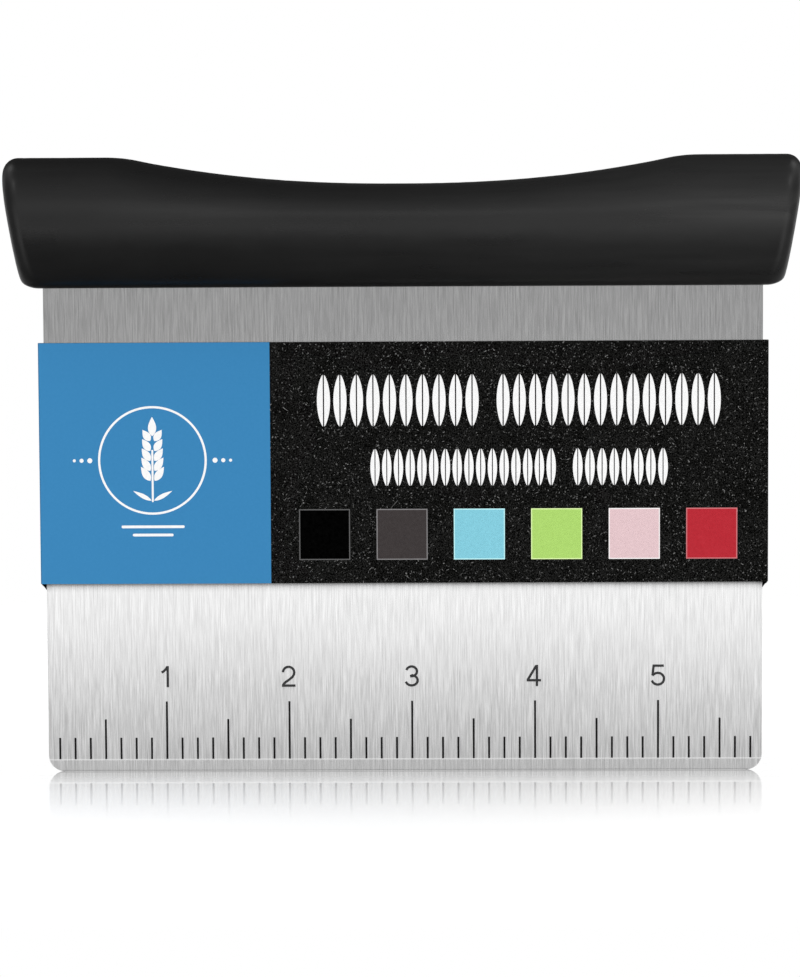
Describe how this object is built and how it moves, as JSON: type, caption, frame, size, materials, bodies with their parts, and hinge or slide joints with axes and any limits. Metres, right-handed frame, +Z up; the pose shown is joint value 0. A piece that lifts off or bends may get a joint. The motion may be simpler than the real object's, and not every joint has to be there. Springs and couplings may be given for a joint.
{
  "type": "bench scraper",
  "caption": "Rectangular stainless dough scraper with a soft black scooped handle, an inch ruler along the edge and a printed card sleeve that slides off.",
  "frame": {"origin": "middle of the cutting edge, on the floor the scraper stands on", "axes": "+X along the cutting edge to the right of the ruled face, -Y out of the ruled face, +Z up from the edge to the handle"},
  "size_m": [0.1628, 0.0242, 0.1267],
  "materials": {
    "blade_steel": "vertical brushed",
    "core_plastic": "as moulded",
    "rivet_metal": "satin",
    "grip_rubber": "satin moulded rubber",
    "tick_ink": "ink fill",
    "numeral_ink": "ink fill",
    "sleeve_card": "printed card",
    "glue": "dried glue"
  },
  "bodies": {
    "scraper": {"blade": "blade_steel", "core_front_shell": "core_plastic", "core_rear_shell": "core_plastic", "tang_rivets": "rivet_metal", "grip_overmould": "grip_rubber", "inch_tick_fill": "tick_ink", "half_inch_tick_fill": "tick_ink", "eighth_tick_fill": "tick_ink", "numeral_1_fill": "numeral_ink", "numeral_2_fill": "numeral_ink", "numeral_3_fill": "numeral_ink", "numeral_4_fill": "numeral_ink", "numeral_5_fill": "numeral_ink"},
    "sleeve": {"packaging_sleeve": "sleeve_card", "sleeve_glue_strip": "glue"}
  },
  "joints": [
    {"name": "sleeve_slide", "type": "slide", "parent": "scraper", "child": "sleeve", "axis": [0, 0, -1], "range_m": [-0.01, 0.092]}
  ]
}
